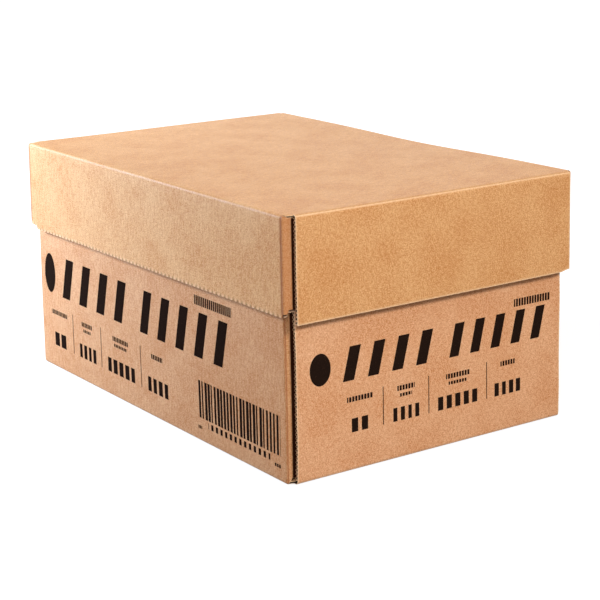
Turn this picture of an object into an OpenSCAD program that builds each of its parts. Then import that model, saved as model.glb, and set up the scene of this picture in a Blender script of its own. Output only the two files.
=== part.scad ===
// Carton of copy paper: a corrugated tray with a lift-off lid, and the wrapped reams that fill it.
// The carton's length lies along X and its width along Y. The origin is at the middle of its underside.

/* [Paper] */
// Width of one sheet, which lies along the carton
sheet_w = 215.9; // [200:0.1:230]
// Length of one sheet, which lies across the carton
sheet_l = 279.4; // [260:0.1:300]
// Height of one wrapped ream
ream_h = 42.6; // [36:0.1:52]
// Reams in each of the two stacks
layers = 5; // [1:1:6]

/* [Ream wrapper] */
// Thickness of the wrapper
wrap = 0.25; // [0.15:0.05:0.5]
// Rounding of a wrapped ream's edges
ream_r = 1.2; // [0.6:0.1:2]
// Depth of the lower folded flap on a ream's end
tuck_low = 24; // [14:0.5:28]
// Depth of the upper folded flap on a ream's end, which laps over the lower one
tuck_high = 27; // [16:0.5:30]

/* [Board] */
// Thickness of the corrugated board
board = 3; // [2.5:0.1:3.8]
// Outer radius of a fold
fold_r = 4.4; // [4:0.1:5.5]

/* [Flutes] */
// Length of one wave of the fluted sheet
flute_pitch = 6.5; // [5.5:0.1:8]
// Thickness of a liner, and of the fluted sheet between the two liners
liner = 0.4; // [0.2:0.05:0.6]
// Depth to which the flutes are open behind a cut edge
flute_open = 5; // [2:0.5:6]

/* [Base] */
// Room between the two stacks of reams
stack_gap = 1; // [0.4:0.1:4]
// Room between the reams and the flaps at each end
end_room = 0.6; // [0.4:0.1:4]
// Room between the reams and each long wall
side_room = 6.5; // [2:0.5:12]
// Room between the top reams and the rim
head_room = 7; // [5:0.5:14]
// Distance from the front long wall's face to an end wall's cut edge
base_step_front = 7.3; // [5.6:0.1:14]
// Distance from the back long wall's face to an end wall's cut edge
base_step_back = 5.6; // [5.6:0.1:14]

/* [Lid] */
// Play between the base and the lid's flaps at each end
lid_end_play = 0.6; // [0.4:0.1:3]
// Play between the base and each long skirt
lid_side_play = 1.4; // [0.4:0.1:4]
// Play between the base's rim and the lid's underside
lid_top_play = 0.3; // [0.2:0.1:1]
// Depth of the long skirts, from the lid's top
skirt_long = 84; // [60:0.5:110]
// Depth of the end skirts, from the lid's top
skirt_end = 89.5; // [60:0.5:110]
// Distance from the front long skirt's face to an end skirt's cut edge
lid_step_front = 10; // [5.6:0.1:16]
// Distance from the back long skirt's face to an end skirt's cut edge
lid_step_back = 5.6; // [5.6:0.1:16]

/* [Corner flaps] */
// Length of a flap from the long wall's face
flap_l = 75; // [50:1:110]
// How far a flap's inner corners are cut off
flap_taper = 12; // [5:1:20]
// Height of the relief cut between a flap and the panel
flap_relief = 5.5; // [5:0.1:9]
// How far a flap stops short of its wall's free edge
flap_setback = 3.5; // [1:0.1:6]

/* [Hidden] */
$fn = 48;
kraft = "burlywood";
kraft_dark = "tan";
wrapper_white = "whitesmoke";
cut = 1;
stack_names = ["left", "right"];
ream_names = [for (s = stack_names, i = [1:layers]) str("ream_", s, "_", i)];

// One wrapped ream without the folds on its ends
ream_x = sheet_w + 2 * wrap;
ream_y = sheet_l + 2 * wrap;
// The folds on each end are two layers of wrapper
tuck_t = 2 * wrap;

base_l = 2 * ream_x + stack_gap + 2 * end_room + 4 * board;
base_w = ream_y + 2 * tuck_t + 2 * side_room + 2 * board;
base_h = board + layers * ream_h + head_room;
lid_l = base_l + 2 * lid_end_play + 4 * board;
lid_w = base_w + 2 * lid_side_play + 2 * board;
total_h = base_h + lid_top_play + board;
// Where a flap's foot starts on the rounded fold between the panel and a long wall
foot = 0.3 * fold_r;

// Slab with its two lower corners rounded, standing on y = 0
module round_foot(w, h, r) {
    translate([-w / 2, r]) square([w, h - r]);
    translate([r - w / 2, 0]) square([w - 2 * r, 2 * r]);
    for (side = [-1, 1]) translate([side * (w / 2 - r), r]) circle(r);
}

// Section through a panel and the two walls folded up from it
module folded_section(w, h) {
    difference() {
        round_foot(w, h, fold_r);
        translate([0, board]) round_foot(w - 2 * board, h, fold_r - board);
    }
}

// Plan of a corner flap: the bend at the end of a long wall, then the leaf behind the end wall
module flap_plan(l, w) {
    leaf_x = l / 2 - board;
    translate([leaf_x - fold_r, w / 2 - fold_r]) intersection() {
        difference() {
            circle(fold_r);
            circle(fold_r - board);
        }
        square(fold_r + cut);
    }
    translate([leaf_x - board, w / 2 - flap_l]) square([board, flap_l - fold_r]);
}

// Outline of a corner flap seen on its leaf, measured from the long wall's face
module flap_outline(h) {
    low = flap_relief;
    high = h - flap_setback;
    polygon([
        [-cut, foot], [fold_r / 2, foot], [fold_r / 2 + low - foot, low], [flap_l - flap_taper, low],
        [flap_l, low + flap_taper], [flap_l, high - flap_taper], [flap_l - flap_taper, high],
        [2.5 * fold_r, high], [2 * fold_r, h], [-cut, h]
    ]);
}

// Flute ends along a cut edge: three-sided holes that point to one liner and the other by turns
module flute_ends(run) {
    halves = floor(2 * (run - liner) / flute_pitch) - 1;
    half_w = flute_pitch / 2 - liner;
    for (i = [1:halves]) {
        x = (i - (halves + 1) / 2) * flute_pitch / 2;
        even = i % 2 == 0;
        flat_y = even ? liner : board - liner;
        tip_y = even ? board - 2 * liner : 2 * liner;
        polygon([[x - half_w, flat_y], [x + half_w, flat_y], [x, tip_y]]);
    }
}

// Flutes that run down the long walls and end at the walls' free edges
module long_wall_flutes(l, w, h) {
    straight = l - 2 * board - 2 * fold_r;
    for (my = [0, 1]) mirror([0, my, 0])
        translate([0, w / 2 - board, h - flute_open]) linear_extrude(flute_open + cut) flute_ends(straight);
}

// Flutes that run along the end walls and end at the walls' upright cut edges
module end_wall_flutes(l, w, h, steps) {
    for (mx = [0, 1], my = [0, 1]) mirror([mx, 0, 0]) mirror([0, my, 0])
        translate([l / 2 - board, w / 2 - steps[my] - flute_open, (fold_r + h) / 2]) rotate([-90, -90, 0])
            linear_extrude(flute_open + cut) flute_ends(h - fold_r);
}

module corner_flap(l, w, h) {
    reach = 2 * board + fold_r + cut;
    intersection() {
        linear_extrude(h) flap_plan(l, w);
        translate([l / 2, w / 2, 0]) rotate([90, 0, -90]) linear_extrude(reach) flap_outline(h);
    }
}

// Piece of the panel between an end wall's fold and the bend of the flap beside it
module panel_corner(l, w, step) {
    leaf_x = l / 2 - board;
    translate([leaf_x - fold_r, w / 2 - step, 0]) cube([fold_r, step - fold_r, board]);
}

// One folded blank, opening upwards: the panel, two long walls, two end walls and four glued flaps.
// steps holds how far the end walls stop short of the back and of the front long wall.
module tray(l, w, long_h, end_h, steps) {
    straight = l - 2 * board - 2 * fold_r;
    difference() {
        rotate([90, 0, 90]) translate([0, 0, -straight / 2]) linear_extrude(straight)
            folded_section(w, long_h);
        long_wall_flutes(l, w, long_h);
    }
    difference() {
        rotate([90, 0, 0]) translate([0, 0, steps[0] - w / 2]) linear_extrude(w - steps[0] - steps[1])
            folded_section(l, end_h);
        end_wall_flutes(l, w, end_h, steps);
    }
    for (mx = [0, 1], my = [0, 1]) mirror([mx, 0, 0]) mirror([0, my, 0]) {
        corner_flap(l, w, long_h);
        panel_corner(l, w, steps[my]);
    }
}

module base() {
    color(kraft_dark) tray(base_l, base_w, base_h, base_h, [base_step_back, base_step_front]);
}

module lid() {
    color(kraft) translate([0, 0, total_h]) mirror([0, 0, 1])
        tray(lid_l, lid_w, skirt_long, skirt_end, [lid_step_back, lid_step_front]);
}

module rounded_rect(w, h, r) {
    translate([-w / 2, r - h / 2]) square([w, h - 2 * r]);
    translate([r - w / 2, -h / 2]) square([w - 2 * r, h]);
    for (x = [-1, 1], y = [-1, 1]) translate([x * (w / 2 - r), y * (h / 2 - r)]) circle(r);
}

// Trapezoid left by folding the wrapper's side tucks in at 45 degrees
module tuck_shape(w, depth) {
    polygon([[-w / 2, 0], [w / 2, 0], [w / 2 - depth, depth], [depth - w / 2, depth]]);
}

// A ream lies on z = 0 with its folded ends facing -Y and +Y
module ream() {
    tuck_w = ream_x - 2 * ream_r;
    translate([0, 0, ream_h / 2]) intersection() {
        translate([0, 0, -ream_h / 2]) linear_extrude(ream_h) rounded_rect(ream_x, ream_y, ream_r);
        rotate([90, 0, 0]) translate([0, 0, -ream_y / 2]) linear_extrude(ream_y)
            rounded_rect(ream_x, ream_h, ream_r);
        rotate([90, 0, 90]) translate([0, 0, -ream_x / 2]) linear_extrude(ream_x)
            rounded_rect(ream_y, ream_h, ream_r);
    }
    for (my = [0, 1]) mirror([0, my, 0]) {
        translate([0, -ream_y / 2 + cut, ream_r]) rotate([90, 0, 0])
            linear_extrude(cut + wrap) tuck_shape(tuck_w, tuck_low - ream_r);
        translate([0, -ream_y / 2 + cut, ream_h - ream_r]) rotate([90, 0, 0]) mirror([0, 1, 0])
            linear_extrude(cut + tuck_t) tuck_shape(tuck_w, tuck_high - ream_r);
    }
}

module placed_ream(stack, layer) {
    side = 2 * stack - 1;
    color(wrapper_white)
        translate([side * (ream_x + stack_gap) / 2, 0, board + (layer - 1) * ream_h]) ream();
}

base();
lid();
for (s = [0, 1], i = [1:layers])
    placed_ream(s, i);
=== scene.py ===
"""Looks of a lidded carton of copy paper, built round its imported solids.

Base and lid are folded blanks of corrugated board. A blank is worked out flat, u across the flutes and v
along them, and then folded, and u and v stay on the mesh as its UV map. So fibres, flutes and print follow
the board round every fold. Lengths are in metres, and a blank opens upwards until the lid is turned over.
"""
import math

import bmesh
import bpy
import numpy as np
from mathutils import Matrix, Vector


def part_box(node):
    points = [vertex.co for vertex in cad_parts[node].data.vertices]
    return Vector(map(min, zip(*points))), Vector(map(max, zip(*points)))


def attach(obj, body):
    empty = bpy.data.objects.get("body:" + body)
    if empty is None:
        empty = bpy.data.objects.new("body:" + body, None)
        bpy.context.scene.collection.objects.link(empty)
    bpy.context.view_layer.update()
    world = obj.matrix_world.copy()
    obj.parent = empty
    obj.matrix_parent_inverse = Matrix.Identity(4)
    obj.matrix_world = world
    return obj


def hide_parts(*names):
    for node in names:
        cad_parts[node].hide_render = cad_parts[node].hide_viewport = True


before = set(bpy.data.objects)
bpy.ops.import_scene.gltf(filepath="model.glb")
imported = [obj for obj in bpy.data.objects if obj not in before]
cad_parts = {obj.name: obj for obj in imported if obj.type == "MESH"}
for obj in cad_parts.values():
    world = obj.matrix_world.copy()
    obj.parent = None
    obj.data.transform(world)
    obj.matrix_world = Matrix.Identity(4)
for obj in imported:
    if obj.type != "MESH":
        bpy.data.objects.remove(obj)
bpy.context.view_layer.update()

MM = 0.001

# Thickness of the board, of a liner and of the fluted sheet, and the fluted sheet's wave
BOARD = 3 * MM
LINER = 0.35 * MM
MEDIUM = 0.3 * MM
FLUTE_PITCH = 3.4 * MM
FLUTE_RISE = BOARD / 2 - LINER - MEDIUM / 2
OPEN_DEPTH = 26 * MM

# A fold's outer radius, the length of its quarter turn, and the power that makes it squarer
FOLD_R = 3.4 * MM
QUARTER = FOLD_R * math.pi / 2
SQUARE = 0.75

# Toothed free edge of a long wall, and the score in the bend at its end
TOOTH_PITCH = 6.5 * MM
TOOTH = 1.0 * MM
EDGE_BAND = 3.0 * MM
SCORE_DEPTH = 0.35 * MM
SCORE_WIDTH = 0.8 * MM

# Corner flaps, measured as on the solids
FLAP_L = 75 * MM
FLAP_TAPER = 12 * MM
BASE_RELIEF = 5.5 * MM
LID_RELIEF = 2.2 * MM
FLAP_SETBACK = 3.5 * MM
BASE_STEP_FRONT = 7.3 * MM
LID_STEP_FRONT = 10 * MM
STEP_BACK = 5.6 * MM
SKIRT_LONG = 84 * MM

# How far a flap lies inside its bend, and how far along the flap that fades
FLAP_INSET = 1.5 * MM
INSET_REACH = 14 * MM

# How far the fluted sheet and the inner liner stop short of an end wall's upright cut edge
MEDIUM_SHORT = -0.35 * MM
INNER_SHORT = 1.6 * MM
SHORT_REACH = 8 * MM

# How far from its upright cut edge an end wall stands off, and from its back corner is trimmed
LIFT_REACH = 16 * MM
TRIM_REACH = 12 * MM

# Where a long wall's free edge steps down to a flap, and the notch beside its left end
STEP_START = FOLD_R * 1.6
STEP_END = FOLD_R * 2.1
NOTCH_REACH = 12 * MM
NOTCH_FADE = 1.5 * MM

# Widths of the pale bands at edges and folds, partly wear and partly painted highlight, and how pale the
# folds are
LONG_RIM_WEAR_AND_HIGHLIGHT = 1.1 * MM
LONG_FOLD_WEAR_AND_HIGHLIGHT = 1.3 * MM
LONG_FOLD_PALE = 0.08
END_RIM_WEAR_AND_HIGHLIGHT = 0.9 * MM
END_CUT_WEAR_AND_HIGHLIGHT = 0.8 * MM
END_FOLD_WEAR_AND_HIGHLIGHT = 0.7 * MM
END_FOLD_PALE = 0.9
PANEL_FOLD_WEAR_AND_HIGHLIGHT = 2 * MM
PANEL_FOLD_PALE = 0.3
EAR_PALE = 0.8

# Band of painted shade on a flap just outside the end wall's cut edge, standing in for the slit's shadow
SLIT = 1.7 * MM
SLIT_FADE = 0.6 * MM
SLIT_PAINTED_SHADE = 1.6

# Small bends of the base: lean at the floor and the height where it ends, bow, and waves
BASE_LEAN_H = 142 * MM
BASE_END_LEAN = 2.2 * MM
BASE_LONG_LEAN = 1.0 * MM
BASE_BOW_H = 160 * MM
BASE_BOW = 0.9 * MM
BASE_END_WAVE = 0.25 * MM
BASE_LONG_WAVE = 0.3 * MM

# Small bends of the lid: splay of its skirts, pinch of its left end at the top, waves, and sags of its top
LID_SPLAY_H = 90 * MM
LID_END_SPLAY = 1.3 * MM
LID_END_PINCH = 0.9 * MM
LID_LONG_SPLAY = 1.0 * MM
LID_END_WAVE = 0.2 * MM
LID_CUT_WAVE = 0.15 * MM
LID_LONG_WAVE = 0.35 * MM
LID_SAG = 0.5 * MM
LID_SAG_WAVE = 0.15 * MM
LID_BACK_SAG = 2.0 * MM

# Camera, placed as the photograph's
VIEW_AZIMUTH = math.radians(55.53)
VIEW_ELEVATION = math.radians(14.86)
VIEW_ROLL = math.radians(-0.98)
VIEW_DISTANCE = 1.5956
VIEW_TARGET = Vector((0, 0, 0.1332))
VIEW_SLIDE = (0.01447, -0.04552)
VIEW_LENS = 100.52
SENSOR = 36

OUTER, INNER, FLUTED = 0, 1, 2


def steps(*spans):
    """Numbers that run through spans (start, end, parts) one after another, each end given once."""
    runs = [np.linspace(a, b, n, endpoint=False) for a, b, n in spans]
    return np.concatenate(runs + [[spans[-1][1]]])


def both_ways(half):
    """Numbers that run from zero outwards, joined to their mirror images."""
    return np.concatenate([-half[:0:-1], half])


def smooth(t):
    """Rises from 0 to 1 as t does, level at both ends: 3 t squared less 2 t cubed."""
    t = np.clip(t, 0, 1)
    return t * t * (3 - 2 * t)


def hump(t):
    """Bell that is 1 at t = 0 and fades over about 1 to each side: e to the power of minus t squared."""
    return np.exp(-t * t)


class Sheet:
    """Sheets of board or paper as closed slabs, each given as a grid of near points and one of far points.

    finish is the finish of the rim, and the near and far faces have it too unless they get their own.
    """

    def __init__(self, finish, near=None, far=None):
        self.finishes = [finish if f is None else f for f in (near, far, finish)]
        self.grids = []

    def add(self, near, far, uv, wear_and_painted_light=0.0, scored=0.0):
        """Takes one grid of near and far points, with their u and v, their mark of wear and painted light,
        and how scored they are.
        """
        shape = near.shape[:2]
        marks = [np.broadcast_to(m, shape).ravel() for m in (wear_and_painted_light, scored)]
        self.grids.append((near, far, uv.reshape(-1, 2), marks[0], marks[1]))

    def slab(self):
        """Welds the near points by place, doubles them as far points and closes the free edges by a rim."""
        near = np.concatenate([g[0].reshape(-1, 3) for g in self.grids])
        far = np.concatenate([g[1].reshape(-1, 3) for g in self.grids])
        data = [np.concatenate([g[k] for g in self.grids]) for k in (2, 3, 4)]
        quads = []
        start = 0
        for g in self.grids:
            rows, columns = g[0].shape[:2]
            i = start + np.arange(rows * columns).reshape(rows, columns)
            quads.append(np.stack([i[:-1, :-1], i[1:, :-1], i[1:, 1:], i[:-1, 1:]], -1).reshape(-1, 4))
            start += rows * columns
        key = np.round(near / (0.01 * MM)).astype(np.int64)
        first, index = np.unique(key, axis=0, return_index=True, return_inverse=True)[1:]
        index = index.ravel()
        quads = index[np.concatenate(quads)]
        count = len(first)
        edges = np.stack([quads, np.roll(quads, -1, 1)], -1).reshape(-1, 2)
        met, times = np.unique(np.sort(edges, 1), axis=0, return_inverse=True, return_counts=True)[1:]
        free = edges[times[met.ravel()] == 1]
        rim = np.stack([free[:, 1], free[:, 0], free[:, 0] + count, free[:, 1] + count], -1)
        points = np.concatenate([near[first], far[first]])
        marks = [np.concatenate([d[first]] * 2) for d in data]
        finish = np.repeat(self.finishes, [len(quads), len(quads), len(rim)])
        return points, np.concatenate([quads, quads[:, ::-1] + count, rim]), marks, finish


def make_piece(name, sheets, finishes, crease=40):
    """One mesh object from sheets, with u and v as its UV map, and its marks of wear and painted light and of
    scores as attributes.
    """
    slabs = [s.slab() for s in sheets]
    starts = np.cumsum([0] + [len(p) for p, q, m, f in slabs])
    points = np.concatenate([p for p, q, m, f in slabs])
    quads = np.concatenate([q + a for (p, q, m, f), a in zip(slabs, starts)])
    uv, wear_and_painted_light, scored = (np.concatenate([m[k] for p, q, m, f in slabs]) for k in range(3))
    finish = np.concatenate([f for p, q, m, f in slabs])
    mesh = bpy.data.meshes.new(name)
    mesh.vertices.add(len(points))
    mesh.vertices.foreach_set("co", points.astype(np.float32).ravel())
    mesh.loops.add(quads.size)
    mesh.loops.foreach_set("vertex_index", quads.astype(np.int32).ravel())
    mesh.polygons.add(len(quads))
    mesh.polygons.foreach_set("loop_start", np.arange(0, quads.size, 4, dtype=np.int32))
    mesh.polygons.foreach_set("material_index", finish.astype(np.int32))
    mesh.update(calc_edges=True)
    layer = mesh.uv_layers.new(name="blank")
    layer.data.foreach_set("uv", uv[quads.ravel()].astype(np.float32).ravel())
    for label, values in (("wear_and_painted_light", wear_and_painted_light), ("scored", scored)):
        attribute = mesh.attributes.new(label, "FLOAT", "POINT")
        attribute.data.foreach_set("value", values.astype(np.float32))
    form = bmesh.new()
    form.from_mesh(mesh)
    bmesh.ops.recalc_face_normals(form, faces=form.faces)
    form.to_mesh(mesh)
    form.free()
    mesh.shade_smooth()
    mesh.set_sharp_from_angle(angle=math.radians(crease))
    for material in finishes:
        mesh.materials.append(material)
    piece = bpy.data.objects.new(name, mesh)
    bpy.context.scene.collection.objects.link(piece)
    return piece


class Blank:
    """One folded blank: a panel at z = 0, two long walls that turn in as corner flaps, and two end walls.

    Each fold is a quarter turn of radius FOLD_R on the outer face and FOLD_R - n at depth n into the board.
    The power SQUARE of the turn's sine and cosine makes a fold beside the panel squarer than a circle.
    """

    def __init__(self, length, width, long_h, end_h, step, score, relief, bend,
                 slope=0.0, notch=0.0, trim=0.0):
        """Takes outer sizes, the front step beside an end wall, the score's place and the relief's height.

        bend moves the folded points. slope, notch and trim are small faults of the free edges.
        """
        self.length = length
        self.width = width
        self.long_top = QUARTER + long_h - FOLD_R
        self.end_top = QUARTER + end_h - FOLD_R
        self.straight = length / 2 - BOARD - FOLD_R
        self.fold_x = length / 2 - FOLD_R
        self.fold_y = width / 2 - FOLD_R
        self.cut_front = width / 2 - step
        self.cut_back = width / 2 - STEP_BACK
        self.score = self.straight + score
        self.relief = relief
        self.slit = step - FOLD_R - SLIT
        self.bend = bend
        self.slope = slope
        self.notch = notch
        self.trim = trim
        self.flap_end = self.straight + QUARTER + FLAP_L - FOLD_R

    def wall(self, side, q, g, n):
        """Point of a long wall and its flaps, at q along it, g up it from the panel's fold and n into it.

        Past the straight stretch q turns through a quarter circle in plan and then runs in along the end
        wall. g turns through a quarter circle from the panel and then rises, so a corner is like a sphere.
        """
        along = np.abs(q)
        score = hump((along - self.score) / SCORE_WIDTH) * smooth(g / QUARTER)
        n = n + SCORE_DEPTH * score * (1 - n / BOARD)
        turn = np.clip((along - self.straight) / FOLD_R, 0, math.pi / 2)
        leaf = np.maximum(along - self.straight - QUARTER, 0)
        rise = np.clip(g / FOLD_R, 0, math.pi / 2)
        reach = (FOLD_R - n) * np.sin(rise) ** SQUARE
        inset = FLAP_INSET * smooth(turn * 2 / math.pi) * (1 - smooth(leaf / INSET_REACH))
        inset = inset * smooth(g / QUARTER)
        x = np.sign(q) * (np.minimum(along, self.straight) + reach * np.sin(turn) - inset)
        y = side * (self.fold_y + reach * np.cos(turn) - leaf)
        z = FOLD_R - (FOLD_R - n) * np.cos(rise) ** SQUARE + np.maximum(g - QUARTER, 0)
        return self.bend(np.stack(np.broadcast_arrays(x, y, z), -1), self, 0.0)

    def end(self, side, y, g, n):
        """Point of an end wall at y across it, g up it from the panel's fold and n into the board."""
        rise = np.clip(g / FOLD_R, 0, math.pi / 2)
        x = side * (self.fold_x + (FOLD_R - n) * np.sin(rise) ** SQUARE)
        z = FOLD_R - (FOLD_R - n) * np.cos(rise) ** SQUARE + np.maximum(g - QUARTER, 0)
        lift = smooth(1 - self.to_cut(y) / LIFT_REACH)
        return self.bend(np.stack(np.broadcast_arrays(x, y, z), -1), self, lift)

    def to_cut(self, y):
        """Distance from y to the nearer upright cut edge of an end wall."""
        return np.minimum(y + self.cut_front, self.cut_back - y)

    def trimmed(self, y):
        """Share of an end wall's height that is left at y. It drops a little towards the back corner."""
        return 1 - self.trim / self.end_top * smooth((y - self.cut_back + TRIM_REACH) / TRIM_REACH)

    def panel(self, x, y, n):
        """Point of the panel at x and y, n into the board."""
        return self.bend(np.stack(np.broadcast_arrays(x, y, n + 0 * x * y), -1), self, 0.0)

    def low(self, q):
        """Where a flap's lower cut edge runs: up at a slant, level, then cut off at the inner end."""
        past = np.abs(q) - self.straight
        level = self.relief + QUARTER - FOLD_R
        leaf = self.flap_end - self.straight
        return np.interp(past, [0, 1.2 * MM, QUARTER + 2 * MM, leaf - FLAP_TAPER, leaf],
                         [0, 0.6 * MM, level, level, level + FLAP_TAPER])

    def high(self, q):
        """Where the free edge runs: along the long wall, a step down past the corner, then cut off."""
        past = np.abs(q) - self.straight
        leaf = self.flap_end - self.straight
        drop = np.interp(past, [STEP_START, STEP_END, leaf - FLAP_TAPER, leaf],
                         [0, FLAP_SETBACK, FLAP_SETBACK, FLAP_SETBACK + FLAP_TAPER])
        corner = self.notch * smooth((-q - self.straight + NOTCH_REACH) / NOTCH_FADE) * (past < STEP_START)
        return self.long_top + self.slope * np.clip(q / self.straight, -1, 1) - np.maximum(drop, corner)

    def wall_columns(self):
        """Places along a long wall and its flaps, close together in the bend and where it shows."""
        s = self.straight
        e = self.flap_end
        past = s + QUARTER
        half = steps((0, s - 14 * MM, 22), (s - 14 * MM, s - 5 * MM, 6), (s - 5 * MM, s, 10),
                     (s, past, 10), (past, past + 7 * MM, 14), (past + 7 * MM, e - FLAP_TAPER, 10),
                     (e - FLAP_TAPER, e - 1 * MM, 4), (e - 1 * MM, e, 2))
        return both_ways(half)

    def end_columns(self):
        """Places across an end wall, close together at its two cut edges."""
        near, mid = 3 * MM, 18 * MM
        a, b = -self.cut_front, self.cut_back
        return steps((a, a + near, 6), (a + near, a + mid, 7), (a + mid, b - mid, 16), (b - mid, b - near, 7),
                     (b - near, b, 6))

    def wall_rows(self, top):
        """Shares of a wall's height at which its rows lie, close together in the fold and at the edge."""
        return steps((0, QUARTER, 7), (QUARTER, top - 3 * MM, 8), (top - 3 * MM, top, 3)) / top

    def liner(self, finish, n0, n1):
        """One liner of the whole blank, from depth n0 to n1: panel, walls, flaps and ends in one sheet."""
        toothed = finish == OUTER
        sheet = Sheet(finish, far=FLUTED) if toothed else Sheet(finish, near=FLUTED)
        for side in (-1, 1):
            self.liner_wall(sheet, side, n0, n1, EDGE_BAND if toothed else 0.0)
            if toothed:
                self.toothed_edge(sheet, side, n0, n1)
        self.liner_panel(sheet, n0, n1)
        for side in (-1, 1):
            self.liner_end(sheet, side, n0, n1, 0 if toothed else INNER_SHORT)
            for corner in (-1, 1):
                self.panel_corner(sheet, side, corner, n0, n1)
        return sheet

    def liner_wall(self, sheet, side, n0, n1, band):
        """A long wall with its two flaps, up to band short of the free edge. Wear, painted highlights and
        scores are bells, and the slit's painted shade is a ramp.
        """
        q = self.wall_columns()
        along = np.abs(q)
        low = np.where(along > self.straight, self.low(q), 0)
        rows = self.wall_rows(self.long_top)[:, None]
        g = low + (self.high(q) - band - low) * rows
        # Pale rim, cut flap edge and fold: partly wear, partly painted highlight
        rim = hump((g - self.high(q)) / LONG_RIM_WEAR_AND_HIGHLIGHT)
        flap = along > self.straight + MM / 100
        cut = np.where(flap & (rows < 0.001), 1.0, 0) + hump((along - self.flap_end) / MM)
        fold = hump((g - QUARTER * 0.6) / LONG_FOLD_WEAR_AND_HIGHLIGHT) * ~flap
        wear_and_painted_light = np.clip(rim + cut + LONG_FOLD_PALE * fold, 0, 1)
        # Painted shade: the flap beside the end wall's cut edge gets a negative mark that darkens it as the
        # slit's shadow
        slit = smooth((along - self.straight - QUARTER - self.slit) / SLIT_FADE) * (side * q < 0)
        wear_and_painted_light = wear_and_painted_light - SLIT_PAINTED_SHADE * slit * smooth(g / QUARTER)
        scored = hump((along - self.score) / SCORE_WIDTH) * smooth(g / QUARTER)
        uv = np.stack(np.broadcast_arrays(q + 0 * g, side * (self.fold_y + g)), -1)
        sheet.add(self.wall(side, q, g, n0), self.wall(side, q, g, n1), uv, wear_and_painted_light, scored)

    def liner_panel(self, sheet, n0, n1):
        """The panel between its four folds, on the same columns and rows as the walls it meets."""
        q = self.wall_columns()
        x = q[np.abs(q) <= self.straight + MM / 100]
        y = np.concatenate([[-self.fold_y], self.end_columns(), [self.fold_y]])[:, None]
        uv = np.stack(np.broadcast_arrays(x, y), -1)
        # Pale band along the panel's folds: partly wear, partly painted highlight
        fold = np.broadcast_to(hump((self.fold_y - np.abs(y)) / PANEL_FOLD_WEAR_AND_HIGHLIGHT), uv.shape[:2])
        sheet.add(self.panel(x, y, n0), self.panel(x, y, n1), uv, PANEL_FOLD_PALE * fold)

    def liner_end(self, sheet, side, n0, n1, short):
        """An end wall and the strip of panel before its fold. At its cut edges it stops short by short."""
        y = self.end_columns()
        g = np.append(self.straight - self.fold_x, self.wall_rows(self.end_top) * self.end_top)[:, None]
        g = np.where(g > 0, g * self.trimmed(y), g)
        # Pale rim, cut edges and fold: partly wear, partly painted highlight
        rim = hump((g - self.end_top * self.trimmed(y)) / END_RIM_WEAR_AND_HIGHLIGHT)
        rim = rim + hump(self.to_cut(y) / END_CUT_WEAR_AND_HIGHLIGHT)
        wear_and_painted_light = np.clip(rim + END_FOLD_PALE * hump((g - QUARTER * 0.55) / END_FOLD_WEAR_AND_HIGHLIGHT), 0, 1)
        uv = np.stack(np.broadcast_arrays(side * (self.fold_x + g), y), -1)
        near_cut = smooth(1 - self.to_cut(y) / SHORT_REACH)
        drawn = y - np.sign(y) * (short * smooth(g / QUARTER) * near_cut)
        near, far = (np.where(g[..., None] < 0, self.panel(side * (self.fold_x + g), y, n),
                              self.end(side, drawn, np.maximum(g, 0), n)) for n in (n0, n1))
        sheet.add(near, far, uv, wear_and_painted_light)

    def panel_corner(self, sheet, side, corner, n0, n1):
        """The panel's ear between an end wall and a flap. Its outer corner is rounded and pressed thin."""
        x = steps((self.straight, self.fold_x, 3), (self.fold_x, self.length / 2 - BOARD, 2))
        cut = self.cut_front if corner < 0 else self.cut_back
        y = steps((cut, self.fold_y, 5))[:, None]
        out = (x - self.straight) / (self.length / 2 - BOARD - self.straight)
        up = (y - cut) / (self.fold_y - cut)
        round_x = x - 1.6 * MM * out * smooth(up)
        press = 0.45 * out * (BOARD / 2)
        near, far = (self.panel(side * round_x, corner * y, n + press * (1 - 2 * n / BOARD))
                     for n in (n0, n1))
        uv = np.stack(np.broadcast_arrays(side * round_x, corner * y), -1)
        # The ear's pale outer part: partly wear, partly painted highlight
        sheet.add(near, far, uv, np.clip(out + 0 * up, 0, 1) * EAR_PALE)

    def toothed_edge(self, sheet, side, n0, n1):
        """Free edge of a long wall, as the toothed knife leaves it: a triangle wave of uneven height."""
        s = self.straight
        q = np.unique(np.concatenate([both_ways(np.arange(0, s, TOOTH_PITCH / 4)), [-s, s]]))
        phase = np.abs((q / TOOTH_PITCH) % 1 - 0.5) * 2
        tooth = TOOTH * (phase - 0.5) * (0.75 + 0.25 * np.sin(q * 61) * np.sin(q * 190 + 1))
        share = np.array([0, 0.35, 0.7, 1])[:, None]
        g = self.high(q) - EDGE_BAND * (1 - share) + tooth * share ** 2
        uv = np.stack(np.broadcast_arrays(q + 0 * g, side * (self.fold_y + g)), -1)
        # tick is pale wear and painted highlight at the tooth tips, and painted shadow between the teeth
        # where it is negative
        tick = share * np.clip(2.6 * phase - 1.2, -0.7, 1)
        sheet.add(self.wall(side, q, g, n0), self.wall(side, q, g, n1), uv, tick)

    def flutes(self):
        """The fluted sheet: its middle lies at half the board's depth plus a cosine of u over the pitch."""
        sheet = Sheet(FLUTED)
        fine = FLUTE_PITCH / 6
        for side in (-1, 1):
            q = both_ways(np.arange(0, self.straight, fine))
            top = self.high(q) - 0.25 * MM * (1 + np.sin(q * 830))
            self.ribbon(sheet, side, q, top - OPEN_DEPTH, top, 3)
            for way in (-1, 1):
                q = way * np.arange(self.straight, self.flap_end, fine)
                self.ribbon(sheet, side, q, self.low(q) + 0.2 * MM, self.high(q) - 0.2 * MM, 4)
            self.end_flutes(sheet, side, np.arange(QUARTER, self.end_top, fine)[:, None])
        return sheet

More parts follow.
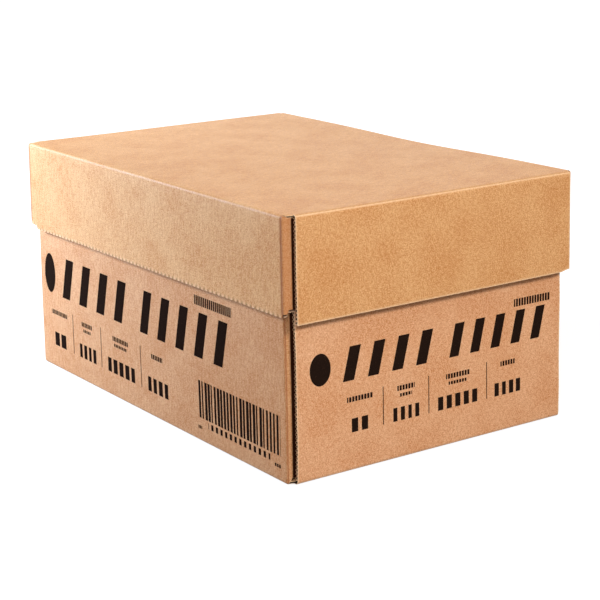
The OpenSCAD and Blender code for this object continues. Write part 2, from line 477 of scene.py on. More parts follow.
    def end_flutes(self, sheet, side, g):
        """Fluted sheet of an end wall, with rows at g up it.

        Its two upright ends are torn: they run past the cut, uneven by a sine of g, and thicken there.
        """
        tip, inner, torn_share = 0.994, 0.86, 0.006
        share = steps((-1, -tip, 2), (-tip, -inner, 5), (-inner, inner, 1), (inner, tip, 5), (tip, 1, 2))
        ragged = MEDIUM_SHORT + 0.15 * MM * np.sin(g * 790)
        middle = (self.cut_back - self.cut_front) / 2
        half = (self.cut_back + self.cut_front) / 2
        y = middle + (half - ragged) * share
        wave = BOARD / 2 + FLUTE_RISE * np.cos(2 * math.pi * (self.fold_x + g) / FLUTE_PITCH)
        g = QUARTER + (g - QUARTER) * self.trimmed(y)
        uv = np.stack(np.broadcast_arrays(side * (self.fold_x + g), y), -1)
        wear_and_painted_light = smooth((np.abs(share) - tip) / torn_share)
        torn = MEDIUM / 2 * (1 + 1.6 * wear_and_painted_light)
        # The torn ends' paleness fades with depth into the board, as painted shade, and near the outer liner
        # it is partly painted highlight
        wear_and_painted_light = wear_and_painted_light * smooth(1.75 - wave / (BOARD * 0.54))
        sheet.add(self.end(side, y, g, wave - torn), self.end(side, y, g, wave + torn), uv, wear_and_painted_light)

    def ribbon(self, sheet, side, q, start, stop, parts):
        """Fluted sheet of a long wall and its flaps from height start to stop, crushed in the bend."""
        tip = 0.98
        crush = 1 - 0.55 * hump((np.abs(q) - self.straight - QUARTER / 2) / QUARTER)
        wave = BOARD / 2 + FLUTE_RISE * crush * np.cos(2 * math.pi * q / FLUTE_PITCH)
        share = np.append(steps((0, tip, parts)), 1.0)[:, None]
        g = start + (stop - start) * share
        uv = np.stack(np.broadcast_arrays(q + 0 * g, side * (self.fold_y + g)), -1)
        near, far = (self.wall(side, q, g, wave + way * MEDIUM / 2) for way in (-1, 1))
        sheet.add(near, far, uv, smooth((share - tip) / 0.02))

    def sheets(self):
        """Outer liner, inner liner and the fluted sheet between them."""
        return [self.liner(OUTER, 0.0, LINER), self.liner(INNER, BOARD - LINER, BOARD), self.flutes()]


def base_bend(p, blank, lift):
    """The base under its load: ends lean out to the floor, long walls bow, cut edges stand off the flaps.

    The lean falls evenly to nothing under the lid. The bow is a cosine along a wall times a sine up it. Waves
    are products of sines, with their pace in radians per metre. lift is 1 at a cut edge and 0 away from it.
    """
    x, y, z = p[..., 0], p[..., 1], p[..., 2]
    lean = np.maximum(1 - z / BASE_LEAN_H, 0)
    ends, sides = x / (blank.length / 2), y / (blank.width / 2)
    rise = smooth(z / (25 * MM))
    end_wave = np.sin(17 * y + 9 * z + 1) * np.sin(13 * z + 2) * rise
    long_wave = np.sin(21 * x) * np.sin(25 * z) * rise
    gap = (0.8 + 0.2 * np.sin(70 * z)) * MM * (1 - 0.75 * smooth((z - 120 * MM) / (20 * MM)))
    bow = np.cos(np.clip(ends, -1, 1) * math.pi / 2) * np.sin(np.clip(z / BASE_BOW_H, 0, 1) * math.pi)
    dx = ends * (BASE_END_LEAN * lean + BASE_END_WAVE * end_wave) + np.sign(x) * lift * rise * gap
    dy = sides * (BASE_LONG_LEAN * lean + BASE_BOW * bow + BASE_LONG_WAVE * long_wave)
    return np.stack([x + dx, y + dy, z], -1)


def lid_bend(p, blank, lift):
    """The lid, turned over: skirts splay towards their free edges, and the top sags between its folds.

    The splay grows evenly with the depth. The sag is a product of parabolas across the top, and a bell at the
    middle of the back edge. Waves are products of sines, as on the base.
    """
    x, y, z = p[..., 0], p[..., 1], p[..., 2]
    ends, sides = x / (blank.length / 2), y / (blank.width / 2)
    rise = smooth(z / (20 * MM))
    depth = z / LID_SPLAY_H
    splay = np.where(x > 0, LID_END_SPLAY * depth, -LID_END_PINCH * (1 - depth))
    dx = ends * (splay * np.abs(ends) ** 3 + LID_END_WAVE * np.sin(23 * y + 1) * rise)
    dx = dx + np.sign(x) * lift * rise * LID_CUT_WAVE * np.sin(80 * z + 1)
    dy = sides * (LID_LONG_SPLAY + LID_LONG_WAVE * np.sin(19 * x + 0.6) * rise) * z / SKIRT_LONG
    across = np.clip(sides, -1, 1)
    sag = LID_SAG * (1 - np.clip(ends, -1, 1) ** 2) * (1 - across ** 2)
    sag = sag + LID_SAG_WAVE * (1 + np.sin(15 * x + 2) * np.sin(22 * y)) * (1 - across ** 4)
    back_sag = LID_BACK_SAG * hump((x - 12 * MM) / (95 * MM)) * smooth((sides - 0.2) / 0.8)
    turned = lid_top - z - sag * (1 - rise) - back_sag
    return np.stack([x + dx, y + dy, turned], -1)


base_lo, base_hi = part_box("base")
lid_lo, lid_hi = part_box("lid")
lid_top = lid_hi.z
base_h = base_hi.z - base_lo.z
base_blank = Blank(2 * base_hi.x, 2 * base_hi.y, base_h, base_h, BASE_STEP_FRONT, 0.55 * QUARTER,
                   BASE_RELIEF, base_bend)
lid_blank = Blank(2 * lid_hi.x, 2 * lid_hi.y, SKIRT_LONG, lid_hi.z - lid_lo.z, LID_STEP_FRONT,
                  -0.05 * QUARTER, LID_RELIEF, lid_bend, slope=-1.1 * MM, notch=3.5 * MM, trim=1.8 * MM)


class Graph:
    """Short calls that add nodes to a material and give back their output sockets."""

    def __init__(self, name):
        self.material = bpy.data.materials.new(name)
        self.material.use_nodes = True
        self.tree = self.material.node_tree
        self.shader = self.tree.nodes["Principled BSDF"]

    def put(self, socket, value):
        """Links value into socket if it is an output, and otherwise writes it there."""
        if isinstance(value, bpy.types.NodeSocket):
            self.tree.links.new(value, socket)
        else:
            socket.default_value = value

    def math(self, operation, *values):
        """Output of a Math node fed with values, each a number or another node's output."""
        node = self.tree.nodes.new("ShaderNodeMath")
        node.operation = operation
        for socket, value in zip(node.inputs, values):
            self.put(socket, value)
        return node.outputs[0]

    def noise(self, vector, size, detail=2.0, rough=0.5, stretch=(1, 1, 1)):
        """Noise whose features measure about size metres, drawn out along each axis by stretch."""
        mapping = self.tree.nodes.new("ShaderNodeMapping")
        mapping.inputs["Scale"].default_value = [1 / (size * s) for s in stretch]
        self.put(mapping.inputs["Vector"], vector)
        node = self.tree.nodes.new("ShaderNodeTexNoise")
        node.inputs["Scale"].default_value = 1
        node.inputs["Detail"].default_value = detail
        node.inputs["Roughness"].default_value = rough
        self.put(node.inputs["Vector"], mapping.outputs[0])
        return node.outputs["Fac"]

    def span(self, value, low, high, to_low=0.0, to_high=1.0):
        """Maps low to high onto to_low to to_high, with a smooth ramp between."""
        node = self.tree.nodes.new("ShaderNodeMapRange")
        node.interpolation_type = "SMOOTHSTEP"
        for socket, number in zip(node.inputs, (value, low, high, to_low, to_high)):
            self.put(socket, number)
        return node.outputs[0]

    def mix(self, share, a, b):
        """Colour that is a at share 0 and b at share 1."""
        node = self.tree.nodes.new("ShaderNodeMix")
        node.data_type = "RGBA"
        self.put(node.inputs[0], share)
        self.put(node.inputs[6], a)
        self.put(node.inputs[7], b)
        return node.outputs[2]

    def blank_uv(self):
        node = self.tree.nodes.new("ShaderNodeUVMap")
        node.uv_map = "blank"
        return node.outputs[0]

    def mark(self, name):
        """One of the mesh's own attributes: the mark of wear and painted light, or scored."""
        node = self.tree.nodes.new("ShaderNodeAttribute")
        node.attribute_name = name
        return node.outputs["Fac"]

    def split(self, vector):
        node = self.tree.nodes.new("ShaderNodeSeparateXYZ")
        self.put(node.inputs[0], vector)
        return node.outputs[0], node.outputs[1]

    def bump(self, height, depth):
        node = self.tree.nodes.new("ShaderNodeBump")
        node.inputs["Strength"].default_value = 1
        node.inputs["Distance"].default_value = depth
        self.put(node.inputs["Height"], height)
        return node.outputs[0]

    def between(self, value, low, high):
        """1 where value lies from low to high, and 0 elsewhere."""
        return self.math("COMPARE", value, (low + high) / 2, (high - low) / 2)

    def marks_along(self, value, marks):
        """1 inside any of the marks (start, end) along value, and 0 between them."""
        node = self.tree.nodes.new("ShaderNodeValToRGB")
        ramp = node.color_ramp
        ramp.interpolation = "CONSTANT"
        first, last = marks[0][0] - 1, marks[-1][1] + 1
        ramp.elements[0].color = (0, 0, 0, 1)
        ramp.elements.remove(ramp.elements[1])
        for start, end in marks:
            for place, level in ((start, 1), (end, 0)):
                stop = ramp.elements.new((place - first) / (last - first))
                stop.color = (level, level, level, 1)
        self.put(node.inputs[0], self.math("DIVIDE", self.math("SUBTRACT", value, first), last - first))
        return node.outputs[0]


# Generic print on one long wall and one end wall, in millimetres: places from the wall's middle, heights
# from the floor. bars: start, pitch and count. oval: middle and half sizes. chips: start, end, foot, top.
LONG_PRINT = {
    "bars": ((-172, 35.1, 4), (-16.6, 31.9, 5)), "foot": 77.5, "cap": 41, "chips": (81, 140.5, 124.5, 133),
    "oval": (-197.7, 98, 11.4, 20), "columns": (-181, -123, -56, 13), "dividers": (-152, -94.5, -17.5),
    "divider": (24, 64), "upper": (56.5, 61), "second": (51, 54), "blocks": (24, 38),
    "upper_w": (33, 22, 31, 20), "blocks_w": (24, 34, 53, 37),
}
END_PRINT = {
    "bars": ((-96, 25.5, 4), (17, 23.2, 5)), "foot": 78.7, "cap": 29.3, "chips": (90.6, 132.7, 111.5, 118.5),
    "oval": (-118.5, 93.4, 10.5, 13.8), "columns": (-79.5, -30.5, 26, 83), "dividers": (-55, -6, 59),
    "divider": (33.5, 67), "upper": (60, 64.5), "second": (54.5, 57.5), "blocks": (33.5, 45.5),
    "upper_w": (26, 19, 26, 17), "blocks_w": (17, 28, 44, 30),
}
BLOCK_COUNTS = (2, 4, 5, 4)
BLOCK_GAP = 3.5
DIVIDER_W = 0.9
SLANT = 0.3
BAR_SHARE = 0.45
CHIP_PITCH = 3.1
CHIP_SHARE = 0.74

# The field of upright stripes on the long wall, the row of blocks below it and the chips beside that row
STRIPE_FIELD = (85, 210.5, 22.5, 57)
STRIPE_PITCH = 5.0
STRIPE_SHARE = 0.42
LOW_ROW = (99, 195, 15, 20.5)
LOW_PITCH = 7.4
LOW_CHIPS = ((82, 88), (201, 210.5))
LOW_CHIPS_UP = (12, 15)


def centred(centre, width):
    return centre - width / 2, centre + width / 2


def slanted_bars(g, along, up, start, pitch, count, foot, cap):
    """A row of plain slanted bars at one pitch, which stand on foot and are cap high."""
    high = g.math("DIVIDE", g.math("SUBTRACT", up, foot), cap)
    turns = g.math("DIVIDE", g.math("SUBTRACT", along, start), pitch)
    turns = g.math("MULTIPLY_ADD", high, -SLANT, turns)
    bar = g.math("LESS_THAN", g.math("FRACT", turns), BAR_SHARE)
    row = g.math("MULTIPLY", g.between(turns, 0, count), g.between(high, 0, 1))
    return g.math("MULTIPLY", bar, row)


def chips(g, along, up, marks, low, high):
    """Small blocks at one pitch inside each of the marks (start, end), from low to high."""
    field = g.math("MULTIPLY", g.marks_along(along, marks), g.between(up, low, high))
    share = g.math("FRACT", g.math("DIVIDE", along, CHIP_PITCH))
    return g.math("MULTIPLY", field, g.math("LESS_THAN", share, CHIP_SHARE))


def stripe_field(g, along, up):
    """Upright stripes at one pitch whose widths come from a hash of their number. They stand for nothing."""
    start, end, low, high = STRIPE_FIELD
    turns = g.math("DIVIDE", g.math("SUBTRACT", along, start), STRIPE_PITCH)
    node = g.tree.nodes.new("ShaderNodeTexWhiteNoise")
    node.noise_dimensions = "1D"
    g.put(node.inputs["W"], g.math("FLOOR", turns))
    share = g.math("MULTIPLY_ADD", node.outputs["Value"], STRIPE_SHARE, STRIPE_SHARE)
    stripe = g.math("LESS_THAN", g.math("FRACT", turns), share)
    window = g.math("MULTIPLY", g.between(along, start, end), g.between(up, low, high))
    return g.math("MULTIPLY", stripe, window)


def face_print(g, along, up, sizes):
    """One wall's print as 1 for ink: two rows of bars, an oval, chips and four columns of blocks."""
    fields = []
    for start, pitch, count in sizes["bars"]:
        fields.append(slanted_bars(g, along, up, start, pitch, count, sizes["foot"], sizes["cap"]))
    x, z, half_w, half_h = sizes["oval"]
    across = g.math("DIVIDE", g.math("SUBTRACT", along, x), half_w)
    high = g.math("DIVIDE", g.math("SUBTRACT", up, z), half_h)
    reach = g.math("ADD", g.math("POWER", across, 2.0), g.math("POWER", high, 2.0))
    fields.append(g.math("LESS_THAN", reach, 1.0))
    start, end, low, high = sizes["chips"]
    fields.append(chips(g, along, up, [(start, end)], low, high))
    upper = [centred(c, w) for c, w in zip(sizes["columns"], sizes["upper_w"])]
    fields.append(chips(g, along, up, upper, *sizes["upper"]))
    fields.append(chips(g, along, up, [(a + 3, b - 3) for a, b in upper[1:3]], *sizes["second"]))
    blocks = []
    for centre, width, count in zip(sizes["columns"], sizes["blocks_w"], BLOCK_COUNTS):
        pitch = (width + BLOCK_GAP) / count
        blocks += [(centre - width / 2 + k * pitch, centre - width / 2 + (k + 1) * pitch - BLOCK_GAP)
                   for k in range(count)]
    lines = [centred(c, DIVIDER_W) for c in sizes["dividers"]]
    for marks, span in ((blocks, sizes["blocks"]), (lines, sizes["divider"])):
        fields.append(g.math("MULTIPLY", g.marks_along(along, marks), g.between(up, *span)))
    ink = fields[0]
    for field in fields[1:]:
        ink = g.math("MAXIMUM", ink, field)
    return ink


def print_mask(g, u, v):
    """Print on the long wall towards -Y and on the end wall towards +X, as 1 for ink and 0 for bare board."""
    rounding = FOLD_R - QUARTER
    u_mm, v_mm = g.math("DIVIDE", u, MM), g.math("DIVIDE", v, MM)
    long_up = g.math("SUBTRACT", g.math("MULTIPLY", v_mm, -1.0), (base_blank.fold_y - rounding) / MM)
    end_up = g.math("SUBTRACT", u_mm, (base_blank.fold_x - rounding) / MM)
    ink = g.math("MAXIMUM", face_print(g, u_mm, long_up, LONG_PRINT), face_print(g, v_mm, end_up, END_PRINT))
    ink = g.math("MAXIMUM", ink, stripe_field(g, u_mm, long_up))
    ink = g.math("MAXIMUM", ink, chips(g, u_mm, long_up, LOW_CHIPS, *LOW_CHIPS_UP))
    start, end, low, high = LOW_ROW
    share = g.math("FRACT", g.math("DIVIDE", u_mm, LOW_PITCH))
    row = g.math("MULTIPLY", g.between(u_mm, start, end), g.between(long_up, low, high))
    return g.math("MAXIMUM", ink, g.math("MULTIPLY", row, g.math("LESS_THAN", share, 0.5)))


# Colours of the liners: panel and end walls, then long walls. On base and lid the two differ as painted light
# and shade, lit and shaded copies of one board
BASE_TONES = ((0.735, 0.364, 0.17), (0.63, 0.305, 0.127))
LID_TONES = ((0.68, 0.334, 0.124), (0.69, 0.356, 0.138))
INNER_TONES = ((0.66, 0.33, 0.13), (0.66, 0.33, 0.13))
INK = (0.017, 0.009, 0.006, 1)
# Near-black colour painted as shade in slits and between teeth
PAINTED_SHADE_COLOUR = (0.035, 0.009, 0.003, 1)
# Pale colour of worn fibres and of painted highlights on folds and cut edges
PALE = (0.97, 0.70, 0.42, 1)

# Channel factors of a liner's darkest and palest fibres, of dark flecks, of the bend's painted shade and
# bounce light, and of a score's crushed fibres and painted shade
DARK_FIBRES = (0.745, 0.515, 0.27)
PALE_FIBRES = (1.24, 1.50, 1.85)
DARK_FLECKS = (0.62, 0.46, 0.30)
BEND_SHADE_TONE = (0.55, 0.28, 0.25)
SCORE_SHADE_TONE = (0.42, 0.26, 0.2)

# Size of a liner's clouds, mat, fibres and flute streaks, and how much each moves it to its pale fibres
CLOUD_SIZE, CLOUD_SHARE = 45 * MM, 0.18
MAT_SIZE, MAT_SHARE = 3.2 * MM, 0.26
FIBRE_SIZE, FIBRE_SHARE = 1.1 * MM, 0.70
STREAK_SIZE, STREAK_SHARE = 2.2 * MM, 0.26
DARKENING = 0.07
FLECK_SIZE = 1.2 * MM
FRAY_SIZE = 1.6 * MM
INK_SIZE = 0.8 * MM

# Height of each in the liner's relief, in millimetres
FLUTE_RELIEF = 0.012
MAT_RELIEF = 0.08
FIBRE_RELIEF = 0.05
STREAK_RELIEF = 0.08


def shade(colour, factor, white):
    """A colour with each channel times factor, then moved towards white by a share."""
    return tuple(min(1.0, c * factor) * (1 - white) + white for c in colour) + (1.0,)


def toned(colour, factors):
    """A colour with each channel times its own factor."""
    return tuple(min(1.0, c * f) for c, f in zip(colour, factors)) + (1.0,)


def fibre_mat(g, uv, u, v, tones, blank):
    """Unworn liner, as its colour, its relief and the mat of its fibres from 0 to 1.

    Clouds, mat, fibres and streaks add up to a share between the darkest and the palest fibres, and flecks of
    both lie over them. The streaks follow the flutes everywhere but on the end walls.
    """
    cloud = g.span(g.noise(uv, CLOUD_SIZE, 2), 0.3, 0.7)
    mat = g.span(g.noise(uv, MAT_SIZE, 3, 0.6), 0.3, 0.7)
    fibre = g.span(g.noise(uv, FIBRE_SIZE, 2, 0.7), 0.3, 0.7)
    streak = g.span(g.noise(uv, STREAK_SIZE, 2, 0.6, (1, 5, 1)), 0.3, 0.7)
    streaky = g.math("MULTIPLY", g.math("LESS_THAN", g.math("ABSOLUTE", u), blank.fold_x), STREAK_SHARE)
    streak = g.math("MULTIPLY", g.math("SUBTRACT", streak, 0.5), streaky)
    share = g.math("MULTIPLY_ADD", cloud, CLOUD_SHARE, g.math("MULTIPLY", mat, MAT_SHARE))
    share = g.math("MULTIPLY_ADD", fibre, FIBRE_SHARE, share)
    share = g.math("ADD", g.math("SUBTRACT", share, DARKENING), streak)
    # Painted light and shade: the long walls get their own tone apart from panel and end walls
    on_long = g.span(g.math("ABSOLUTE", v), blank.fold_y - 3 * MM, blank.fold_y + 3 * MM)
    dark, pale = (g.mix(on_long, toned(tones[0], way), toned(tones[1], way))
                  for way in (DARK_FIBRES, PALE_FIBRES))
    colour = g.mix(share, dark, pale)
    dark_flecks = g.span(g.noise(uv, FLECK_SIZE, 2, 0.6, (0.8, 1.6, 1)), 0.60, 0.69)
    pale_flecks = g.span(g.noise(uv, FLECK_SIZE, 2, 0.6, (1.8, 0.7, 1)), 0.62, 0.74)
    colour = g.mix(g.math("MULTIPLY", dark_flecks, 0.5), colour, toned(tones[0], DARK_FLECKS))
    colour = g.mix(g.math("MULTIPLY", pale_flecks, 0.34), colour, shade(tones[0], 1.15, 0.16))
    flute = g.math("SINE", g.math("MULTIPLY", u, 2 * math.pi / FLUTE_PITCH))
    relief = g.math("MULTIPLY_ADD", flute, FLUTE_RELIEF, g.math("MULTIPLY", mat, MAT_RELIEF))
    relief = g.math("MULTIPLY_ADD", streak, STREAK_RELIEF, relief)
    relief = g.math("MULTIPLY_ADD", fibre, FIBRE_RELIEF, relief)
    return colour, relief, mat


def kraft(name, tones, blank, strip, printed=False):
    """Kraft liner: a mat of fibres, pale folds and cut edges that are partly wear and partly painted
    highlight, painted shade in slits and between teeth, and print where it has any.

    strip is how far the bends at the ends of the long walls are darkened and reddened as painted shade and
    bounce light. The mark of wear and painted light is positive for wear and painted highlights, and negative
    for painted shade in a slit and between teeth.
    """
    g = Graph(name)
    uv = g.blank_uv()
    u, v = g.split(uv)
    tone = tones[0]
    colour, relief, mat = fibre_mat(g, uv, u, v, tones, blank)
    wear_and_painted_light = g.mark("wear_and_painted_light")
    # Pale wear and painted highlight: a positive mark turns the liner towards the pale colour
    fray = g.span(g.noise(uv, FRAY_SIZE, 2, 0.6), 0.3, 0.7, 0.55, 0.9)
    pale_wear_and_highlight = g.math("MAXIMUM", g.math("MULTIPLY", wear_and_painted_light, fray), 0.0)
    colour = g.mix(pale_wear_and_highlight, colour, PALE)
    # Painted shade and bounce light: the bend at each end of a long wall is darkened and reddened
    bend = g.span(g.math("ABSOLUTE", u), blank.score - 4 * MM, blank.score + MM, 0.0, strip)
    bend = g.math("MULTIPLY", bend, g.math("GREATER_THAN", g.math("ABSOLUTE", v), blank.fold_y))
    colour = g.mix(bend, colour, toned(tone, BEND_SHADE_TONE))
    # Score line darkened: partly crushed fibres, partly painted shade of its groove
    colour = g.mix(g.math("MULTIPLY", g.mark("scored"), 0.8), colour, toned(tone, SCORE_SHADE_TONE))
    # Painted shade: a negative mark turns the liner near-black and takes away its specular, as the shade of a
    # slit or of the gaps between teeth
    painted_shade = g.math("MAXIMUM", g.math("MULTIPLY", wear_and_painted_light, -1.0), 0.0)
    shade_and_ink_matt = g.math("MINIMUM", painted_shade, 1.0)
    colour = g.mix(shade_and_ink_matt, colour, PAINTED_SHADE_COLOUR)
    if printed:
        ink = print_mask(g, u, v)
        shade_and_ink_matt = g.math("MAXIMUM", shade_and_ink_matt, ink)
        solid = g.span(g.noise(uv, INK_SIZE, 2, 0.6), 0.2, 0.4, 0.86, 1.0)
        colour = g.mix(g.math("MULTIPLY", ink, solid), colour, INK)
    g.put(g.shader.inputs["Base Color"], colour)
    g.put(g.shader.inputs["Normal"], g.bump(relief, MM))
    g.put(g.shader.inputs["Roughness"], g.span(mat, 0.2, 0.8, 0.46, 0.56))
    g.put(g.shader.inputs["Specular IOR Level"], g.span(shade_and_ink_matt, 0.0, 1.0, 0.14, 0.0))
    g.shader.inputs["IOR"].default_value = 1.5
    return g.material


def fluting():
    """Fluted sheet and the liners' hidden faces, painted near-black as the shade inside the board, pale where
    a cut tore the fibres.
    """
    g = Graph("fluting_painted_shade")
    uv = g.blank_uv()
    grain = g.noise(uv, 1.2 * MM, 3, 0.7)
    # Painted shade: near-black browns stand in for the shade inside the board
    colour = g.mix(grain, (0.05, 0.014, 0.005, 1), (0.10, 0.034, 0.012, 1))
    g.put(g.shader.inputs["Base Color"], g.mix(g.mark("wear_and_painted_light"), colour, (0.95, 0.60, 0.34, 1)))
    g.put(g.shader.inputs["Normal"], g.bump(grain, 0.1 * MM))
    g.shader.inputs["Roughness"].default_value = 0.85
    return g.material


def wrapper_paper():
    """White wrapping paper of a ream: smooth, faintly cloudy and cool, with soft ripples."""
    g = Graph("wrapper_paper")
    place = g.tree.nodes.new("ShaderNodeTexCoord").outputs["Object"]
    cloud = g.noise(place, 30 * MM, 3)
    grain = g.noise(place, 0.8 * MM, 2)
    g.put(g.shader.inputs["Base Color"], g.mix(cloud, (0.80, 0.82, 0.84, 1), (0.88, 0.885, 0.89, 1)))
    height = g.math("MULTIPLY_ADD", grain, 0.05, g.math("MULTIPLY", g.noise(place, 45 * MM, 1), 0.9))
    g.put(g.shader.inputs["Normal"], g.bump(height, MM))
    g.put(g.shader.inputs["Roughness"], g.span(cloud, 0.3, 0.7, 0.38, 0.5))
    return g.material


# A wrapped ream: rounding of its edges, thickness of one folded layer, and the folds from the bottom up as
# (side, depth, layer)
REAM_EDGE = 1.2 * MM
TUCK = 0.25 * MM
TUCKS = ((-1, 24 * MM, 0), (1, 27 * MM, 1))


def rounded_section(t, width, height, radius):
    """Point at share t of the way round a rectangle whose corners are quarter arcs, from its lower left."""
    a, b = width / 2 - radius, height / 2 - radius
    arc = radius * math.pi / 2
    runs = np.cumsum([0, 2 * a, arc, 2 * b, arc, 2 * a, arc, 2 * b, arc])
    s = t * runs[-1]
    turn = np.interp(s, runs, np.array([0, 0, 1, 1, 2, 2, 3, 3, 4]) * math.pi / 2)
    x = np.interp(s, runs, [-a, a, a, a, a, -a, -a, -a, -a])
    z = np.interp(s, runs, [-b, -b, -b, b, b, b, b, -b, -b])
    return x + radius * np.sin(turn), z - radius * np.cos(turn)


def ream_shell(width, length, height, centre):
    """Sides of a wrapped ream: a round-cornered section carried along Y and drawn in at both ends.

    Where the section lies d past the place at r from an end, it shrinks by nearly r - sqrt(r^2 - d^2).
    """
    radius = REAM_EDGE
    a, b, arc = width - 2 * radius, height - 2 * radius, radius * math.pi / 2
    total = 2 * a + 2 * b + 4 * arc
    t = []
    place = 0
    for run, parts in ((a, 12), (arc, 4), (b, 6), (arc, 4)) * 2:
        t.append(np.linspace(place, place + run, parts, endpoint=False) / total)
        place += run
    t = np.append(np.concatenate(t), 1.0)
    turn = np.linspace(0, 1, 5)[1:] * math.pi / 2
    straight = np.linspace(0, length / 2 - radius, 10)
    y = both_ways(np.append(straight, length / 2 - radius * (1 - np.sin(turn))))
    past = np.clip((np.abs(y) - length / 2 + radius) / radius, 0, 1)
    inset = radius * (1 - np.sqrt(1 - past ** 2))[:, None] * 0.98
    x, z = rounded_section(t, width, height, radius)
    x = np.sign(x) * (np.abs(x) - inset)
    z = np.sign(z) * (np.abs(z) - inset)
    return np.stack([x, np.broadcast_to(y[:, None], x.shape), z], -1) + centre


def plate(x, y, z, thick, centre):
    """Near and far points of a thin slab across Y, and their x and z as its u and v."""
    near, far = (np.stack(np.broadcast_arrays(x, y - d, z), -1) + centre for d in (0, thick))
    return near, far, np.stack(np.broadcast_arrays(x, z), -1)


def ream(name, material):
    """One ream in its wrapper, with the folds that close its two ends as thin slabs over one another.

    A fold's half width and height both shrink by the share of its depth, so its sides run at 45 degrees.
    """
    lo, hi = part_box(name)
    centre = np.array((lo + hi) / 2)
    width, height, length = hi.x - lo.x, hi.z - lo.z, hi.y - lo.y - 4 * TUCK
    body = ream_shell(width, length, height, centre)
    inside = centre + (body - centre) * 0.996
    shell = Sheet(OUTER)
    shell.add(body, inside, np.stack([body[..., 0] + body[..., 2], body[..., 1]], -1))
    ends = Sheet(OUTER)
    rim = 1.1 * MM
    x = steps((-1, 1, 16)) * (width / 2 - rim)
    z = steps((-1, 1, 6))[:, None] * (height / 2 - rim)
    for side in (-1, 1):
        ends.add(*plate(x, side * length / 2, z, side * TUCK, centre))
    sheets = [shell, ends]
    share = steps((0, 1, 8))[:, None]
    for side in (-1, 1):
        for up, depth, layer in TUCKS:
            drawn_in = share * (depth - REAM_EDGE)
            x = steps((-1, 1, 20)) * (width / 2 - REAM_EDGE - drawn_in)
            z = up * (height / 2 - REAM_EDGE - drawn_in)
            puff = 0.06 * MM * np.sin(share * math.pi) * np.cos(x * 40)
            y = side * (length / 2 + TUCK * (layer + 0.9 * np.clip(share * 6, 0.2, 1)) + puff)
            flap = Sheet(OUTER)
            flap.add(*plate(x, y, z, side * 0.8 * TUCK, centre))
            sheets.append(flap)
    piece = make_piece(name + "_wrapped", sheets, [material], crease=35)
    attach(piece, "carton")
    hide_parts(name)


# Each lamp's name, place, target, side, power and tint
LAMPS = (
    ("left_lamp", (-0.75, -0.6, 0.47), (-0.67, 0, 0.27), 0.35, 19.5, (0.86, 1.05, 1.4)),
    ("front_lamp", (0.92, -0.66, 0.6), (0.1, 0, 0.12), 0.22, 3.7, (0.98, 1.0, 1.1)),
    ("right_lamp", (2.0, 0.75, 1.6), (0.1, 0, 0.12), 0.45, 38, (1, 1, 1)),
    ("top_lamp", (0.8, 0.3, 2.5), (0, 0, 0.2), 1.4, 9.4, (1, 1, 1)),
    ("back_lamp", (-1.9, 1.4, 0.9), (0, 0, 0.2), 1.2, 5, (1, 1, 1)),
)
WORLD_LIGHT = 0.12
WORLD_TINT = (1.0, 0.72, 0.48)
FLOOR_HALF = 12.0
FLOOR_DROP = 0.2 * MM
FLOOR_TONE = 0.3

# How white the floor is lifted where it is seen directly: from near to far, in metres from its middle
FLOOR_LIFT = (("From Min", 0.4), ("From Max", 1.5), ("To Min", 0.78), ("To Max", 1.0))


def light(name, place, target, side, power, tint):
    """Square area lamp at place that points at target."""
    lamp = bpy.data.lights.new(name, "AREA")
    lamp.shape = "RECTANGLE"
    lamp.size = side
    lamp.size_y = side
    lamp.energy = power
    lamp.color = tint
    lit = bpy.data.objects.new(name, lamp)
    lit.location = place
    lit.rotation_euler = (Vector(target) - Vector(place)).to_track_quat("-Z", "Y").to_euler()
    bpy.context.scene.collection.objects.link(lit)


def seen_directly(tree):
    """1 for camera, glossy and transmission rays, 0 for the rays that only light the object."""
    path = tree.nodes.new("ShaderNodeLightPath")
    total = path.outputs["Is Camera Ray"]
    for other in ("Is Glossy Ray", "Is Transmission Ray"):
        node = tree.nodes.new("ShaderNodeMath")
        node.operation = "MAXIMUM"
        tree.links.new(total, node.inputs[0])
        tree.links.new(path.outputs[other], node.inputs[1])
        total = node.outputs[0]
    return total


def white_world():
    """Even and slightly warm studio light, seen as plain white behind the object."""
    world = bpy.data.worlds.new("studio")
    world.use_nodes = True
    tree = world.node_tree
    tree.nodes.clear()
    out = tree.nodes.new("ShaderNodeOutputWorld")
    mixer = tree.nodes.new("ShaderNodeMixShader")
    tree.links.new(seen_directly(tree), mixer.inputs[0])
    for slot, level, hue in ((1, WORLD_LIGHT, WORLD_TINT), (2, 1.0, (1, 1, 1))):
        node = tree.nodes.new("ShaderNodeBackground")
        node.inputs["Color"].default_value = (*hue, 1)
        node.inputs["Strength"].default_value = level
        tree.links.new(node.outputs[0], mixer.inputs[slot])
    tree.links.new(mixer.outputs[0], out.inputs[0])
    bpy.context.scene.world = world


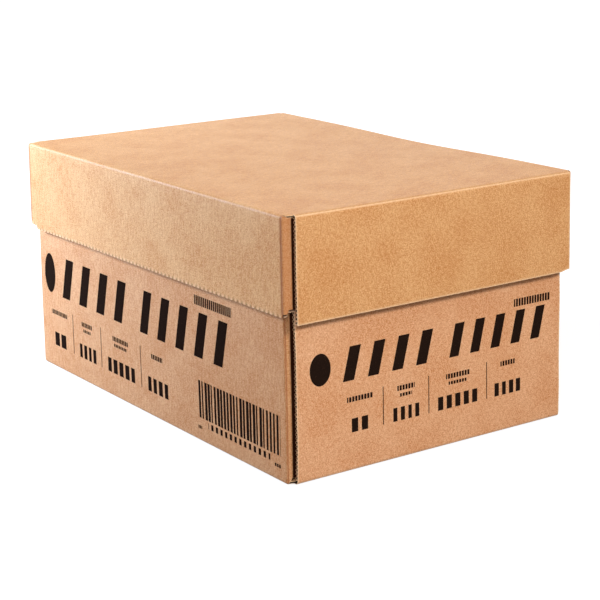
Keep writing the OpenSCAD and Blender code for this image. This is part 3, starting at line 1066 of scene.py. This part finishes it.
def white_floor():
    """Pale floor that keeps the object's shadow. Seen directly it is lifted to white, more so far away."""
    corners = [(x * FLOOR_HALF, y * FLOOR_HALF, -FLOOR_DROP) for x, y in ((-1, -1), (1, -1), (1, 1), (-1, 1))]
    mesh = bpy.data.meshes.new("floor")
    mesh.from_pydata(corners, [], [(0, 1, 2, 3)])
    floor = bpy.data.objects.new("floor", mesh)
    bpy.context.scene.collection.objects.link(floor)
    material = bpy.data.materials.new("floor_white")
    material.use_nodes = True
    tree = material.node_tree
    shader = tree.nodes["Principled BSDF"]
    shader.inputs["Base Color"].default_value = (FLOOR_TONE, FLOOR_TONE, FLOOR_TONE, 1)
    shader.inputs["Roughness"].default_value = 0.9
    shader.inputs["Emission Color"].default_value = (1, 1, 1, 1)
    place = tree.nodes.new("ShaderNodeTexCoord")
    away = tree.nodes.new("ShaderNodeVectorMath")
    away.operation = "LENGTH"
    tree.links.new(place.outputs["Object"], away.inputs[0])
    level = tree.nodes.new("ShaderNodeMapRange")
    level.interpolation_type = "SMOOTHSTEP"
    tree.links.new(away.outputs["Value"], level.inputs["Value"])
    for socket, number in FLOOR_LIFT:
        level.inputs[socket].default_value = number
    lift = tree.nodes.new("ShaderNodeMath")
    lift.operation = "MULTIPLY"
    tree.links.new(level.outputs[0], lift.inputs[1])
    tree.links.new(seen_directly(tree), lift.inputs[0])
    tree.links.new(lift.outputs[0], shader.inputs["Emission Strength"])
    mesh.materials.append(material)


def photo_camera():
    """Camera behind the view's target by its distance, slid in its own plane and rolled about its axis."""
    a, e, r = VIEW_AZIMUTH, VIEW_ELEVATION, VIEW_ROLL
    back = Vector((math.sin(a) * math.cos(e), -math.cos(a) * math.cos(e), math.sin(e)))
    level = Vector((math.cos(a), math.sin(a), 0))
    upright = back.cross(level)
    right = math.cos(r) * level + math.sin(r) * upright
    up = -math.sin(r) * level + math.cos(r) * upright
    eye = VIEW_TARGET + back * VIEW_DISTANCE + right * VIEW_SLIDE[0] + up * VIEW_SLIDE[1]
    data = bpy.data.cameras.new("camera")
    data.lens = VIEW_LENS
    data.sensor_width = SENSOR
    data.clip_start = 0.01
    data.clip_end = 50
    camera = bpy.data.objects.new("camera", data)
    axes = Matrix((right, up, back)).transposed().to_4x4()
    camera.matrix_world = Matrix.Translation(eye) @ axes
    bpy.context.scene.collection.objects.link(camera)
    bpy.context.scene.camera = camera


photo_camera()

base_kraft = kraft("base_liner", BASE_TONES, base_blank, 0.0, printed=True)
lid_kraft = kraft("lid_liner", LID_TONES, lid_blank, 0.45)
inner_kraft = kraft("inner_liner", INNER_TONES, base_blank, 0.0)
medium = fluting()
wrapper = wrapper_paper()

base = make_piece("base_blank", base_blank.sheets(), [base_kraft, inner_kraft, medium])
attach(base, "carton")
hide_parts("base")

lid = make_piece("lid_blank", lid_blank.sheets(), [lid_kraft, inner_kraft, medium])
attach(lid, "lid")
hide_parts("lid")

for node in sorted(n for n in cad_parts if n.startswith("ream_")):
    ream(node, wrapper)

white_world()
white_floor()
for lamp in LAMPS:
    light(*lamp)

bpy.context.scene.view_settings.view_transform = "Standard"
